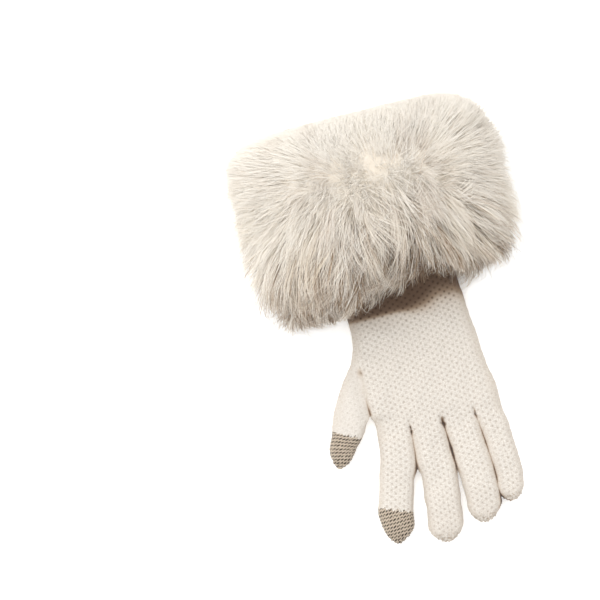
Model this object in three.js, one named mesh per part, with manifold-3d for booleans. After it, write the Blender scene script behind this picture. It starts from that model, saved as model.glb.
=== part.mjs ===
// A knitted dress glove for the left hand, with a deep fur cuff, lying palm down.
// Millimetres, +Z up. The fingers point along -Y and the wrist opening faces +Y.
// The outlines are set out from the middle of the knuckle line, with the thumb on -X. At the end the
// whole glove is moved so that its origin is the middle of its footprint on the table.
import * as THREE from "three";
import { mergeVertices } from "three/addons/utils/BufferGeometryUtils.js";
import Module from "manifold-3d";

// Knitted hand
const KNIT_WALL = 2.2;
const HAND_WIDTH = 90;
const PALM_LENGTH = 95;
const PALM_THICKNESS = 16;

// Fingers and thumb
const FINGER_LENGTH = 82.5;
const FINGER_THICKNESS = 13;
const FINGER_TIP_ROUNDING = 14;
const THUMB_LENGTH = 45;
const THUMB_WIDTH = 24.5;
const THUMB_THICKNESS = 13;
const THUMB_CROTCH = 17; // from the knuckle line up to the thumb's crotch
const TOUCH_TIP_LENGTH = 23.5;

// Sleeve that runs on from the wrist through the cuff
const SLEEVE_LENGTH = 112;
const SLEEVE_WIDTH = 92;
const SLEEVE_THICKNESS = 27;
const SLEEVE_LIFT = 10; // the fur lifts the sleeve off the table by this much

// Fur cuff
const HIDE_THICKNESS = 2;
const HIDE_LENGTH = 72;
const HIDE_SETBACK = 2; // from the sleeve's open end to the hide's edge
const CUFF_WIDTH = 195;
const CUFF_LENGTH = 135;
const CUFF_HEIGHT = 80;
const CUFF_SHIFT = 3; // the pile falls further towards the thumb's side by this much
const CUFF_FALL = 11.5; // and further over the hand than over the opening
const LOCK_WIDTH = 34;
const LOCK_TIP = 3;

// Joints between pieces
const SEAM_GAP = 0.3;
const KNUCKLE_STUB = 3; // the fingers are linked to the hand this far past the knuckle line
const HALF = 0.5;

const yarn = { color: "#ede3d6", roughness: 0.92, metalness: 0 };
const touchYarn = { color: "#a3967c", roughness: 0.8, metalness: 0 };
const fur = { color: "#ddd3c4", roughness: 0.95, metalness: 0 };

// The palm from the knuckle line to the wrist: along is a share of PALM_LENGTH, left and right of HAND_WIDTH,
// thick of PALM_THICKNESS and lift of SLEEVE_LIFT.
const PALM_ROWS = [
  { along: 0.0, left: -0.5, right: 0.5, thick: 0.72, lift: 0 },
  { along: 0.04, left: -0.5, right: 0.5, thick: 0.84, lift: 0 },
  { along: 0.16, left: -0.499, right: 0.487, thick: 0.93, lift: 0 },
  { along: 0.32, left: -0.501, right: 0.468, thick: 1.0, lift: 0 },
  { along: 0.48, left: -0.506, right: 0.442, thick: 1.0, lift: 0 },
  { along: 0.64, left: -0.505, right: 0.427, thick: 1.0, lift: 0 },
  { along: 0.8, left: -0.502, right: 0.418, thick: 1.0, lift: 0.04 },
  { along: 1.0, left: -0.498, right: 0.412, thick: 1.02, lift: 0.24 },
];
// The sleeve from the wrist to its open end: along is a share of SLEEVE_LENGTH, grow of the way from the
// wrist's outline to the open end's, and lift of SLEEVE_LIFT.
const SLEEVE_ROWS = [
  { along: 0.1, grow: 0.08, lift: 0.45 },
  { along: 0.25, grow: 0.3, lift: 0.75 },
  { along: 0.45, grow: 0.62, lift: 0.93 },
  { along: 0.7, grow: 0.88, lift: 1 },
  { along: 1.0, grow: 1, lift: 1 },
];
// A row for each finger: root and the three drifts are sideways places of its centre line at the knuckle,
// a third, two thirds and the tip, with the widths there; all are shares of HAND_WIDTH. long is a share
// of FINGER_LENGTH.
const FINGER_ROWS = [
  { name: "index", long: 0.915, root: -0.369, third: -0.416, most: -0.497, tip: -0.527, rootWide: 0.266, wide: 0.272, tipWide: 0.258 },
  { name: "middle", long: 1.0, root: -0.106, third: -0.107, most: -0.127, tip: -0.16, rootWide: 0.25, wide: 0.28, tipWide: 0.276 },
  { name: "ring", long: 0.915, root: 0.151, third: 0.171, most: 0.183, tip: 0.162, rootWide: 0.254, wide: 0.262, tipWide: 0.262 },
  { name: "little", long: 0.794, root: 0.391, third: 0.417, most: 0.43, tip: 0.395, rootWide: 0.214, wide: 0.21, tipWide: 0.206 },
];
// The thumb's centre line from inside the palm to its tip: out and down are shares of THUMB_LENGTH,
// counted from its crotch, and wide is a share of THUMB_WIDTH.
const THUMB_ROWS = [
  { out: -0.2, down: -1.3, wide: 0.5 },
  { out: -0.11, down: -0.9, wide: 0.78 },
  { out: 0.04, down: -0.49, wide: 0.95 },
  { out: 0.25, down: -0.18, wide: 1.0 },
  { out: 0.43, down: 0.18, wide: 0.86 },
  { out: 0.553, down: 0.39, wide: 0.76 },
  { out: 0.7, down: 0.705, wide: 0.66 },
];
// Where the pile parts or thins. turn and spread are degrees round the wrist, slide runs from -1 at the
// hand to 1 at the opening, and depth is the share of the pile that is missing there.
const PILE_DENTS = [
  { turn: 72, slide: -1.0, spread: 24, reach: 0.34, depth: 0.62 },
  { turn: 66, slide: 0.25, spread: 14, reach: 0.16, depth: 0.16 },
  { turn: 118, slide: -0.1, spread: 10, reach: 0.14, depth: 0.12 },
  { turn: 10, slide: -1.0, spread: 40, reach: 0.4, depth: 0.2 },
  { turn: 150, slide: 0.9, spread: 24, reach: 0.3, depth: 0.14 },
];

const wasm = await Module();
wasm.setup();

// Closed mesh to solid, with its faces turned to point out.
function solidFrom(geometry) {
  const bare = new THREE.BufferGeometry();
  bare.setAttribute("position", geometry.getAttribute("position"));
  bare.setIndex(geometry.getIndex());
  const merged = mergeVertices(bare, 1e-4);
  const triVerts = new Uint32Array(merged.index.array);
  const vertProperties = merged.attributes.position.array;
  const made = new wasm.Manifold(new wasm.Mesh({ numProp: 3, vertProperties, triVerts }));
  if (made.volume() > 0) return made;
  for (let i = 0; i < triVerts.length; i += 3) {
    [triVerts[i + 1], triVerts[i + 2]] = [triVerts[i + 2], triVerts[i + 1]];
  }
  return new wasm.Manifold(new wasm.Mesh({ numProp: 3, vertProperties, triVerts }));
}

// Solid to named mesh.
function meshFrom(solid, name, finish) {
  const { numProp, vertProperties, triVerts } = solid.getMesh();
  const position = new Float32Array((vertProperties.length / numProp) * 3);
  for (let i = 0; i < position.length / 3; i++) {
    position.set(vertProperties.subarray(i * numProp, i * numProp + 3), i * 3);
  }
  const geometry = new THREE.BufferGeometry();
  geometry.setAttribute("position", new THREE.BufferAttribute(position, 3));
  geometry.setIndex(new THREE.BufferAttribute(new Uint32Array(triVerts), 1));
  geometry.computeVertexNormals();
  const mesh = new THREE.Mesh(geometry, new THREE.MeshStandardMaterial(finish));
  mesh.name = name;
  return mesh;
}

// A solid's outer skin alone, without the small pockets of air that crossing locks close off inside the fur.
function outerSkin(solid) {
  const { vertProperties, triVerts } = solid.getMesh();
  const leader = Uint32Array.from({ length: vertProperties.length / 3 }, (_, i) => i);
  const skinOf = (vertex) => {
    let at = vertex;
    while (leader[at] !== at) at = leader[at] = leader[leader[at]];
    return at;
  };
  for (let i = 0; i < triVerts.length; i += 3) {
    leader[skinOf(triVerts[i])] = skinOf(triVerts[i + 1]);
    leader[skinOf(triVerts[i + 1])] = skinOf(triVerts[i + 2]);
  }
  const faces = new Map();
  for (let i = 0; i < triVerts.length; i += 3) {
    const skin = skinOf(triVerts[i]);
    if (!faces.has(skin)) faces.set(skin, []);
    faces.get(skin).push(triVerts[i], triVerts[i + 1], triVerts[i + 2]);
  }
  const outer = [...faces.values()].reduce((most, some) => (some.length > most.length ? some : most));
  const used = [...new Set(outer)];
  const place = new Map(used.map((vertex, k) => [vertex, k]));
  return new wasm.Manifold(
    new wasm.Mesh({
      numProp: 3,
      vertProperties: Float32Array.from(used.flatMap((v) => [...vertProperties.subarray(v * 3, v * 3 + 3)])),
      triVerts: Uint32Array.from(outer.map((vertex) => place.get(vertex))),
    }),
  );
}

// Skin through rings of equally many points, closed by a fan at each end.
function loft(rings) {
  const around = rings[0].length;
  const points = rings.flat();
  const faces = [];
  for (let r = 0; r + 1 < rings.length; r++) {
    for (let i = 0; i < around; i++) {
      const a = r * around + i;
      const b = r * around + ((i + 1) % around);
      faces.push(a, b, b + around, a, b + around, a + around);
    }
  }
  for (const [ring, turned] of [[0, true], [rings.length - 1, false]]) {
    const middle = points.length;
    const centre = new THREE.Vector3();
    rings[ring].forEach((p) => centre.addScaledVector(p, 1 / around));
    points.push(centre);
    for (let i = 0; i < around; i++) {
      const a = ring * around + i;
      const b = ring * around + ((i + 1) % around);
      faces.push(middle, turned ? b : a, turned ? a : b);
    }
  }
  const geometry = new THREE.BufferGeometry().setFromPoints(points);
  geometry.setIndex(faces);
  return solidFrom(geometry);
}

// A value of a table between its rows, on a smooth curve through them.
function between(rows, place, column, at) {
  const last = rows.length - 1;
  const t = Math.min(Math.max(at, rows[0][place]), rows[last][place]);
  let i = 0;
  while (i < last - 1 && rows[i + 1][place] < t) i++;
  const slope = (k) => {
    const before = rows[Math.max(k - 1, 0)];
    const after = rows[Math.min(k + 1, last)];
    return (after[column] - before[column]) / (after[place] - before[place]);
  };
  const span = rows[i + 1][place] - rows[i][place];
  const u = (t - rows[i][place]) / span;
  const ends = rows[i][column] * (1 - u) * (1 - u) * (1 + 2 * u) + rows[i + 1][column] * u * u * (3 - 2 * u);
  return ends + span * (slope(i) * u * (1 - u) * (1 - u) - slope(i + 1) * u * u * (1 - u));
}

const signedPower = (value, power) => Math.sign(value) * Math.abs(value) ** power;

// Section of a knitted tube that lies on a table: round sides, a crowned top and a flat underside.
// Gives [across, height] pairs; inset moves every wall inwards.
const SIDE_ROUNDING = 0.72;
const CROWN_ROUNDING = 0.8;
const FLAT_SHARE = 1.3;
function tubeSection({ width, thickness, lift }, inset, count) {
  const half = Math.max(width * HALF - inset, KNIT_WALL * 0.1);
  const rise = Math.max(thickness * HALF - inset, KNIT_WALL * 0.1);
  const middle = lift + thickness * HALF;
  return Array.from({ length: count }, (_, k) => {
    const angle = (k / count) * Math.PI * 2;
    const up = signedPower(Math.sin(angle), CROWN_ROUNDING);
    const height = up > 0 ? up : Math.max(up * FLAT_SHARE, -1);
    return [half * signedPower(Math.cos(angle), SIDE_ROUNDING), middle + rise * height];
  });
}

// Palm and sleeve
const HAND_POINTS = 24;
const WRIST = PALM_ROWS[PALM_ROWS.length - 1];
const WRIST_WIDTH = (WRIST.right - WRIST.left) * HAND_WIDTH;
const WRIST_CENTRE = (WRIST.right + WRIST.left) * HALF * HAND_WIDTH;

function palmSection(share) {
  const read = (column) => between(PALM_ROWS, "along", column, share);
  return {
    centre: (read("left") + read("right")) * HALF * HAND_WIDTH,
    width: (read("right") - read("left")) * HAND_WIDTH,
    thickness: read("thick") * PALM_THICKNESS,
    lift: read("lift") * SLEEVE_LIFT,
    y: share * PALM_LENGTH,
  };
}

function sleeveSection(share) {
  const rows = [{ along: 0, grow: 0, lift: WRIST.lift }, ...SLEEVE_ROWS];
  const grow = between(rows, "along", "grow", share);
  const wristThickness = WRIST.thick * PALM_THICKNESS;
  return {
    centre: WRIST_CENTRE,
    width: WRIST_WIDTH + (SLEEVE_WIDTH - WRIST_WIDTH) * grow,
    thickness: wristThickness + (SLEEVE_THICKNESS - wristThickness) * grow,
    lift: between(rows, "along", "lift", share) * SLEEVE_LIFT,
    y: PALM_LENGTH + share * SLEEVE_LENGTH,
  };
}

function handRing(section, inset, y = section.y) {
  return tubeSection(section, inset, HAND_POINTS).map(([x, z]) => new THREE.Vector3(section.centre + x, y, z));
}

function handLoft(inset) {
  const palm = PALM_ROWS.map((row) => palmSection(row.along));
  const sleeve = SLEEVE_ROWS.map((row) => sleeveSection(row.along));
  const rings = [...palm, ...sleeve].map((section) => handRing(section, inset));
  if (inset > 0) {
    const firstInside = palm[1];
    rings[0] = handRing({ ...palm[0], thickness: firstInside.thickness }, inset, inset);
    rings.splice(1, 1);
    rings.push(handRing(sleeve[sleeve.length - 1], inset, PALM_LENGTH + SLEEVE_LENGTH + KNIT_WALL));
  }
  return loft(rings);
}

// Fingers
const FINGER_POINTS = 14;
const BODY_STATIONS = [0, 0.2, 0.4, 0.6, 0.8, 1];
const TIP_STATIONS = [0.36, 0.65, 0.86, 0.97];
const roundedTip = (share) => (1 - share ** 2) ** 0.6;

// A finger's tube along a centre line in the table's plane. rows hold x, y and width, root first.
function fingerLoft(rows, thickness, inset) {
  const line = new THREE.CatmullRomCurve3(rows.map((row) => new THREE.Vector3(row.x, row.y, 0)));
  const whole = line.getLength();
  const end = whole - inset;
  const straight = whole - FINGER_TIP_ROUNDING;
  const widths = rows.map((row, i) => ({ along: i / (rows.length - 1), width: row.width }));
  const stations = [
    ...BODY_STATIONS.map((share) => ({ at: share * straight, round: 1 })),
    ...TIP_STATIONS.map((share) => ({ at: straight + share * (end - straight), round: roundedTip(share) })),
  ];
  const rings = stations.map(({ at, round }) => {
    const u = at / whole;
    const middle = line.getPointAt(u);
    const ahead = line.getTangentAt(u);
    const side = new THREE.Vector3(-ahead.y, ahead.x, 0);
    const height = thickness * (0.3 + 0.7 * round);
    const section = {
      width: between(widths, "along", "width", line.getUtoTmapping(u)) * round,
      thickness: height,
      lift: (thickness - height) * 0.4,
    };
    return tubeSection(section, inset, FINGER_POINTS).map(([across, z]) =>
      middle.clone().addScaledVector(side, across).setZ(z),
    );
  });
  return { solid: loft(rings), line, whole };
}

const ROOT_OVERLAP = 0.07; // share of FINGER_LENGTH that a finger's tube runs on inside the palm
const ROOT_TAPER = 0.9;
function fingerRows(finger) {
  const reach = finger.long * FINGER_LENGTH;
  const row = (place, share, wide) => ({ x: place * HAND_WIDTH, y: -share * reach, width: wide * HAND_WIDTH });
  return [
    { ...row(finger.root, 0, finger.rootWide * ROOT_TAPER), y: ROOT_OVERLAP * FINGER_LENGTH },
    row(finger.root, 0, finger.rootWide),
    row(finger.third, 1 / 3, finger.wide),
    row(finger.most, 2 / 3, finger.wide),
    row(finger.tip, 1, finger.tipWide),
  ];
}

function thumbRows() {
  return THUMB_ROWS.map(({ out, down, wide }) => ({
    x: -HAND_WIDTH * HALF - out * THUMB_LENGTH,
    y: THUMB_CROTCH - down * THUMB_LENGTH,
    width: wide * THUMB_WIDTH,
  }));
}

// A block that holds all of a tube beyond a place on its centre line, turned square to the line.
function blockBeyond(tube, at, halfWidth, depth) {
  const ahead = tube.line.getTangentAt(at / tube.whole);
  const block = new THREE.BoxGeometry(halfWidth * 2, depth, CUFF_HEIGHT);
  block.rotateZ(Math.atan2(-ahead.x, ahead.y));
  const middle = tube.line.getPointAt(at / tube.whole).addScaledVector(ahead, depth * HALF);
  return solidFrom(block.translate(middle.x, middle.y, 0));
}

const fingers = FINGER_ROWS.map((finger) => {
  const outer = fingerLoft(fingerRows(finger), FINGER_THICKNESS, 0);
  const hollow = fingerLoft(fingerRows(finger), FINGER_THICKNESS, KNIT_WALL);
  return { name: finger.name, outer, hollow };
});
const thumb = {
  name: "thumb",
  outer: fingerLoft(thumbRows(), THUMB_THICKNESS, 0),
  hollow: fingerLoft(thumbRows(), THUMB_THICKNESS, KNIT_WALL),
};

// One knitted skin over palm, sleeve, fingers and thumb, with one hollow inside
let skin = handLoft(0);
let hollow = handLoft(KNIT_WALL);
for (const digit of [...fingers, thumb]) {
  skin = skin.add(digit.outer.solid);
  hollow = hollow.add(digit.hollow.solid);
}
skin = skin.subtract(hollow);

// The fingers are linked on past the knuckle line, and the thumb at its crotch
function slab(fromY, toY) {
  const block = new THREE.BoxGeometry(HAND_WIDTH * 4, toY - fromY, CUFF_HEIGHT * 2);
  return solidFrom(block.translate(0, (fromY + toY) * HALF, 0));
}
const reachDown = FINGER_LENGTH * 2;
const reachUp = PALM_LENGTH + SLEEVE_LENGTH + CUFF_LENGTH;
const THUMB_ROOT_ROW = 3; // the row of its table at which the thumb leaves the palm
const LENGTH_STEPS = 200;
const thumbLengths = thumb.outer.line.getLengths(LENGTH_STEPS);
const thumbRoot = thumbLengths[Math.round((THUMB_ROOT_ROW / (THUMB_ROWS.length - 1)) * LENGTH_STEPS)];
const thumbBlock = (from) => blockBeyond(thumb.outer, from, THUMB_WIDTH * HALF, THUMB_LENGTH * 1.5);

const pieces = new THREE.Group();
const handSide = slab(-KNUCKLE_STUB, reachUp);
const palmAndSleeve = skin.intersect(handSide).subtract(thumbBlock(thumbRoot));
pieces.add(meshFrom(palmAndSleeve, "knit_hand", yarn));

function addDigit(digit, tube, touchTip) {
  const name = digit.name === "thumb" ? "thumb" : `${digit.name}_finger`;
  if (!touchTip) {
    pieces.add(meshFrom(tube, name, yarn));
    return;
  }
  const tipStart = digit.outer.whole - TOUCH_TIP_LENGTH;
  const halfWidth = HAND_WIDTH * HALF;
  const tip = blockBeyond(digit.outer, tipStart, halfWidth, TOUCH_TIP_LENGTH * 2);
  const rest = blockBeyond(digit.outer, tipStart - SEAM_GAP, halfWidth, TOUCH_TIP_LENGTH * 2);
  pieces.add(meshFrom(tube.subtract(rest), name, yarn));
  pieces.add(meshFrom(tube.intersect(tip), `${digit.name}_touch_tip`, touchYarn));
}

const fingerSide = slab(-reachDown, -KNUCKLE_STUB - SEAM_GAP);
for (const finger of fingers) {
  const tube = finger.outer.solid.subtract(finger.hollow.solid).intersect(fingerSide);
  addDigit(finger, tube, finger.name === "index");
}
const thumbTube = thumb.outer.solid.subtract(thumb.hollow.solid);
addDigit(thumb, thumbTube.intersect(thumbBlock(thumbRoot + SEAM_GAP)), true);

// Fur cuff: a hide band round the sleeve, under-fur on it, and locks of guard hair fused all over
const CUFF_POINTS = 26;
const hideEnd = PALM_LENGTH + SLEEVE_LENGTH - HIDE_SETBACK;
const hideMiddle = hideEnd - HIDE_LENGTH * HALF;
const cuffMiddle = hideMiddle - CUFF_FALL;
const MOST_LEAN = 82; // degrees that the pile leans out at the hide's two edges
const PLAN_ROUNDING = 0.62;
const RING_ROUNDING = 0.86;
const PRESSED = 1.6; // the pile under the sleeve is pressed flat on the table

function sleeveAt(y) {
  return sleeveSection((y - PALM_LENGTH) / SLEEVE_LENGTH);
}

function pileShare(turn, slide) {
  let share = 1;
  for (const dent of PILE_DENTS) {
    const across = (turn - dent.turn) / dent.spread;
    const along = (slide - dent.slide) / dent.reach;
    share -= dent.depth * Math.exp(-across * across - along * along);
  }
  return share;
}

// A place in the pile: turn is degrees round the wrist from its +X side over the top, slide runs from -1 at
// the hand to 1 at the opening, and depth from 0 on the hide to 1 at the hair tips.
function pilePoint(turn, slide, depth) {
  const angle = THREE.MathUtils.degToRad(turn);
  const lean = THREE.MathUtils.degToRad(slide * MOST_LEAN);
  const y = hideMiddle + Math.max(-1, Math.min(1, slide)) * HIDE_LENGTH * HALF;
  const { centre, width, thickness, lift } = sleeveAt(y);
  const side = width * HALF + HIDE_THICKNESS;
  const rise = thickness * HALF + HIDE_THICKNESS;
  const middle = lift + thickness * HALF;
  const c = signedPower(Math.cos(angle), RING_ROUNDING);
  const s = signedPower(Math.sin(angle), RING_ROUNDING);
  const full = depth * pileShare(turn, slide);
  const outward = full * Math.cos(lean) ** PLAN_ROUNDING;
  const endward = full * signedPower(Math.sin(lean), PLAN_ROUNDING);
  const sideReach = (CUFF_WIDTH - SLEEVE_WIDTH) * HALF - HIDE_THICKNESS;
  const reach = s > 0 ? CUFF_HEIGHT - middle - rise : (middle - rise) * PRESSED;
  const endReach = cuffMiddle + Math.sign(lean) * CUFF_LENGTH * HALF - y;
  return new THREE.Vector3(
    centre - CUFF_SHIFT * full + c * (side + sideReach * outward),
    y + Math.abs(endward) * endReach,
    Math.max(0, middle + s * (rise + reach * outward)),
  );
}

// The under-fur: slide as above, depth its share of the pile.
const CORE_ROWS = [
  { slide: -1, depth: 0.66 },
  { slide: -0.84, depth: 0.68 },
  { slide: -0.52, depth: 0.72 },
  { slide: -0.14, depth: 0.77 },
  { slide: 0.26, depth: 0.78 },
  { slide: 0.6, depth: 0.74 },
  { slide: 1, depth: 0.68 },
];
const core = loft(
  CORE_ROWS.map(({ slide, depth }) =>
    Array.from({ length: CUFF_POINTS }, (_, k) => pilePoint((k / CUFF_POINTS) * 360, slide, depth)),
  ),
);

// A flat tapering lock from inside the under-fur to the hair tips. flow is how far its tip slides.
const LOCK_STATIONS = [
  { at: 0, wide: 1 },
  { at: 0.5, wide: 0.9 },
  { at: 0.8, wide: 0.5 },
];
const LOCK_SIDES = 4;
const LOCK_FLATNESS = 0.42;
const LOCK_ROOT_DEPTH = 0.45;
function lockSolid(turn, slide, flow, swing, width) {
  const root = pilePoint(turn, slide, LOCK_ROOT_DEPTH);
  const bend = pilePoint(turn + swing * 0.3, slide + flow * 0.3, 0.93);
  const end = pilePoint(turn + swing, Math.max(-1, Math.min(1, slide + flow)), 1);
  const line = new THREE.QuadraticBezierCurve3(root, bend, end);
  const beside = pilePoint(turn + 4, slide, LOCK_ROOT_DEPTH).sub(root).normalize();
  const ring = ({ at, wide }) => {
    const ahead = line.getTangent(at);
    const across = beside.clone().addScaledVector(ahead, -beside.dot(ahead)).normalize();
    const up = new THREE.Vector3().crossVectors(ahead, across);
    return Array.from({ length: LOCK_SIDES }, (_, k) => {
      const angle = (k / LOCK_SIDES) * Math.PI * 2;
      return line
        .getPoint(at)
        .addScaledVector(across, Math.cos(angle) * width * wide * HALF)
        .addScaledVector(up, Math.sin(angle) * width * wide * HALF * LOCK_FLATNESS);
    });
  };
  return loft([...LOCK_STATIONS.map(ring), ring({ at: 1, wide: LOCK_TIP / width })]);
}

// Rings of locks: slide is where they root, count how many go round, flow how far their tips slide.
const LOCK_ROWS = [
  { slide: -0.94, count: 13, flow: -0.06, start: 0 },
  { slide: -0.68, count: 12, flow: -0.24, start: 15 },
  { slide: -0.42, count: 12, flow: -0.32, start: 0 },
  { slide: -0.14, count: 12, flow: -0.3, start: 15 },
  { slide: 0.1, count: 12, flow: -0.16, start: 9 },
  { slide: 0.36, count: 12, flow: 0.2, start: 15 },
  { slide: 0.64, count: 12, flow: 0.28, start: 0 },
  { slide: 0.92, count: 12, flow: 0.08, start: 15 },
];
const UNDERSIDE_FROM = 205;
const UNDERSIDE_TO = 335;
const SWING_PATTERN = [5, -3, 2, -6, 4, -1];
const WIDTH_PATTERN = [1, 0.86, 1.08, 0.93];
const PARTING = 70; // the locks fan out to both sides from here, in degrees round the wrist
const FAN_SHARE = 0.16;
let cuff = core;
LOCK_ROWS.forEach(({ slide, count, flow, start }, row) => {
  for (let k = 0; k < count; k++) {
    const turn = (start + (k * 360) / count) % 360;
    if (turn > UNDERSIDE_FROM && turn < UNDERSIDE_TO) continue;
    const fan = turn < 180 ? (turn - PARTING) * FAN_SHARE : 0;
    const swing = fan + SWING_PATTERN[(k + row * 2) % SWING_PATTERN.length];
    const width = LOCK_WIDTH * WIDTH_PATTERN[(k + row) % WIDTH_PATTERN.length];
    cuff = cuff.add(lockSolid(turn, slide, flow, swing, width));
  }
});

// The band of hide, the bore for the sleeve, and the table under the fur
const MOUTH_FLARE = 9; // the fur stands this far off the sleeve's open end
const sleeveEnd = sleeveSection(1);
const hide = handLoft(-SEAM_GAP - HIDE_THICKNESS).intersect(slab(hideEnd - HIDE_LENGTH, hideEnd));
const mouth = loft([
  handRing(sleeveEnd, -SEAM_GAP, hideEnd),
  handRing(sleeveEnd, -SEAM_GAP, sleeveEnd.y + SEAM_GAP),
  handRing(sleeveEnd, -SEAM_GAP - MOUTH_FLARE, cuffMiddle + CUFF_LENGTH),
]);
const bore = handLoft(-SEAM_GAP).add(mouth);
const table = solidFrom(new THREE.BoxGeometry(CUFF_WIDTH * 2, reachUp * 2, CUFF_HEIGHT).translate(0, 0, -CUFF_HEIGHT * HALF));
pieces.add(meshFrom(outerSkin(cuff.add(hide).subtract(bore).subtract(table)), "fur_cuff", fur));

// Origin at the middle of the footprint, on the table
const bounds = new THREE.Box3().setFromObject(pieces);
const middle = bounds.getCenter(new THREE.Vector3());
pieces.position.set(-middle.x, -middle.y, -bounds.min.z);
const glove = new THREE.Group();
glove.add(pieces);

export default glove;
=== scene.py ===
"""A knitted dress glove with a deep fur cuff, lying palm down on a pale floor."""
import math

import bmesh
import bpy
import numpy as np
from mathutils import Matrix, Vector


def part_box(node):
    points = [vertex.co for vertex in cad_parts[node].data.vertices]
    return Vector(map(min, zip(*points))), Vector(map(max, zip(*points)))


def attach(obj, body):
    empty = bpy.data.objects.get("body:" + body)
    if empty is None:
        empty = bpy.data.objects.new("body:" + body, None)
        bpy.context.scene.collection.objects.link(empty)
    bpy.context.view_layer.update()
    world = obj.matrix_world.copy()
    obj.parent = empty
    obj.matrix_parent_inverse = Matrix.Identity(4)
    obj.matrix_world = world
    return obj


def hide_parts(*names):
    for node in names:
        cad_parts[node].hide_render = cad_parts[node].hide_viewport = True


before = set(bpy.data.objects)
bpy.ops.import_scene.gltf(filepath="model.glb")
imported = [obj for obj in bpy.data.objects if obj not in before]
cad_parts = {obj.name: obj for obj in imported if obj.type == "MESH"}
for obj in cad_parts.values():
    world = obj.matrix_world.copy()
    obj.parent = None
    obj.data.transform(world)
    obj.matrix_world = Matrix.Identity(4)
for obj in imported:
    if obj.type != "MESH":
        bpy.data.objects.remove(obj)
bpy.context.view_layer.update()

# The camera hangs straight over the glove, as for a catalogue picture, with a long lens. The glove lies
# turned by 14 degrees in the picture, and below and to the right of its middle.
MM = 0.001
KNUCKLE_HALF = 45.0
KNUCKLE_STUB = 3.0
hand_low, hand_high = (np.array(corner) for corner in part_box("knit_hand"))
knuckle_middle = np.array([hand_high[0] - KNUCKLE_HALF * MM, hand_low[1] + KNUCKLE_STUB * MM, 0.0])


def in_metres(points):
    """Glove coordinates in mm, counted from the middle of the knuckle line, to metres in the frame."""
    return np.asarray(points, dtype=float) * MM + knuckle_middle


PICTURE_TURN = math.radians(-14)
PICTURE_MIDDLE = (-74.3, 106.4)
PICTURE_WIDTH = 420.0
CAMERA_HEIGHT = 2400.0
SENSOR = 36.0
lens = bpy.data.cameras.new("catalogue_lens")
lens.sensor_width = SENSOR
lens.lens = SENSOR * CAMERA_HEIGHT / PICTURE_WIDTH
lens.clip_end = 20.0
camera = bpy.data.objects.new("catalogue_camera", lens)
camera.location = in_metres([*PICTURE_MIDDLE, CAMERA_HEIGHT])
camera.rotation_euler = (0, 0, PICTURE_TURN)
bpy.context.scene.collection.objects.link(camera)
bpy.context.scene.camera = camera


# Studio: a glowing white paper floor, a white ceiling that is brighter towards the cuff, and one soft
# light bank there, a little to the thumb's side, so that the locks and folds keep some shade.
def linear(hex_colour):
    """An sRGB hex colour as linear red, green, blue and alpha."""
    values = [int(hex_colour[i:i + 2], 16) / 255 for i in (1, 3, 5)]
    return [v / 12.92 if v <= 0.04045 else ((v + 0.055) / 1.055) ** 2.4 for v in values] + [1.0]


def node(tree, kind, settings=None, links=None):
    """Adds a shader node, with its properties or input values, and links from other nodes' outputs."""
    made = tree.nodes.new("ShaderNode" + kind)
    for name, value in (settings or {}).items():
        if isinstance(name, str) and hasattr(made, name):
            setattr(made, name, value)
        else:
            made.inputs[name].default_value = value
    for name, output in (links or {}).items():
        tree.links.new(output, made.inputs[name])
    return made


def new_material(name):
    """An empty node material, with its node tree and its output node."""
    material = bpy.data.materials.new(name)
    material.use_nodes = True
    material.node_tree.nodes.clear()
    return material, material.node_tree, material.node_tree.nodes.new("ShaderNodeOutputMaterial")


FLOOR_SIZE = 6.0
PAPER_WHITE = "#F7F7F6"
PAPER_GLOW = 0.4  # the paper lies on a light table
bpy.ops.mesh.primitive_plane_add(size=FLOOR_SIZE, location=(0, 0, 0))
floor = bpy.context.object
floor.name = "paper_floor"
paper, tree, output = new_material("matt white paper")
surface = node(tree, "BsdfPrincipled", {
    "Base Color": linear(PAPER_WHITE), "Roughness": 0.95, "Emission Color": linear(PAPER_WHITE),
    "Emission Strength": PAPER_GLOW})
tree.links.new(surface.outputs["BSDF"], output.inputs["Surface"])
floor.data.materials.append(paper)


def area_light(name, place, size, power):
    """A square soft box at a place in metres, turned to the middle of the floor."""
    light = bpy.data.lights.new(name, "AREA")
    light.size = size
    light.energy = power
    lamp = bpy.data.objects.new(name, light)
    lamp.location = place
    across = math.hypot(place[0], place[1])
    lamp.rotation_euler = (math.atan2(across, place[2]), 0, math.atan2(-place[1], -place[0]) - math.pi / 2)
    bpy.context.scene.collection.objects.link(lamp)


BANK_PLACE, BANK_SIZE, BANK_WATTS = (-0.45, 0.95, 1.6), 1.4, 12
CEILING_WAY = (-0.15, 0.2, 0.62)  # the room is brightest in this direction
CEILING_FROM, WALL_GREY, CEILING_WHITE, ROOM_STRENGTH = 0.6, 0.4, 1.0, 1.32
area_light("ceiling_bank", BANK_PLACE, BANK_SIZE, BANK_WATTS)
world = bpy.data.worlds.new("white ceiling over grey walls")
world.use_nodes = True
tree = world.node_tree
direction = node(tree, "TexCoord")
toward_light = node(tree, "VectorMath", {"operation": "DOT_PRODUCT", 1: CEILING_WAY},
                    {0: direction.outputs["Generated"]})
ambient = node(tree, "MapRange", {
    "From Min": 0.0, "From Max": CEILING_FROM, "To Min": WALL_GREY, "To Max": CEILING_WHITE},
    {"Value": toward_light.outputs["Value"]})
tree.links.new(ambient.outputs["Result"], tree.nodes["Background"].inputs["Color"])
tree.nodes["Background"].inputs["Strength"].default_value = ROOM_STRENGTH
bpy.context.scene.world = world
bpy.context.scene.view_settings.view_transform = "Standard"

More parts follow.
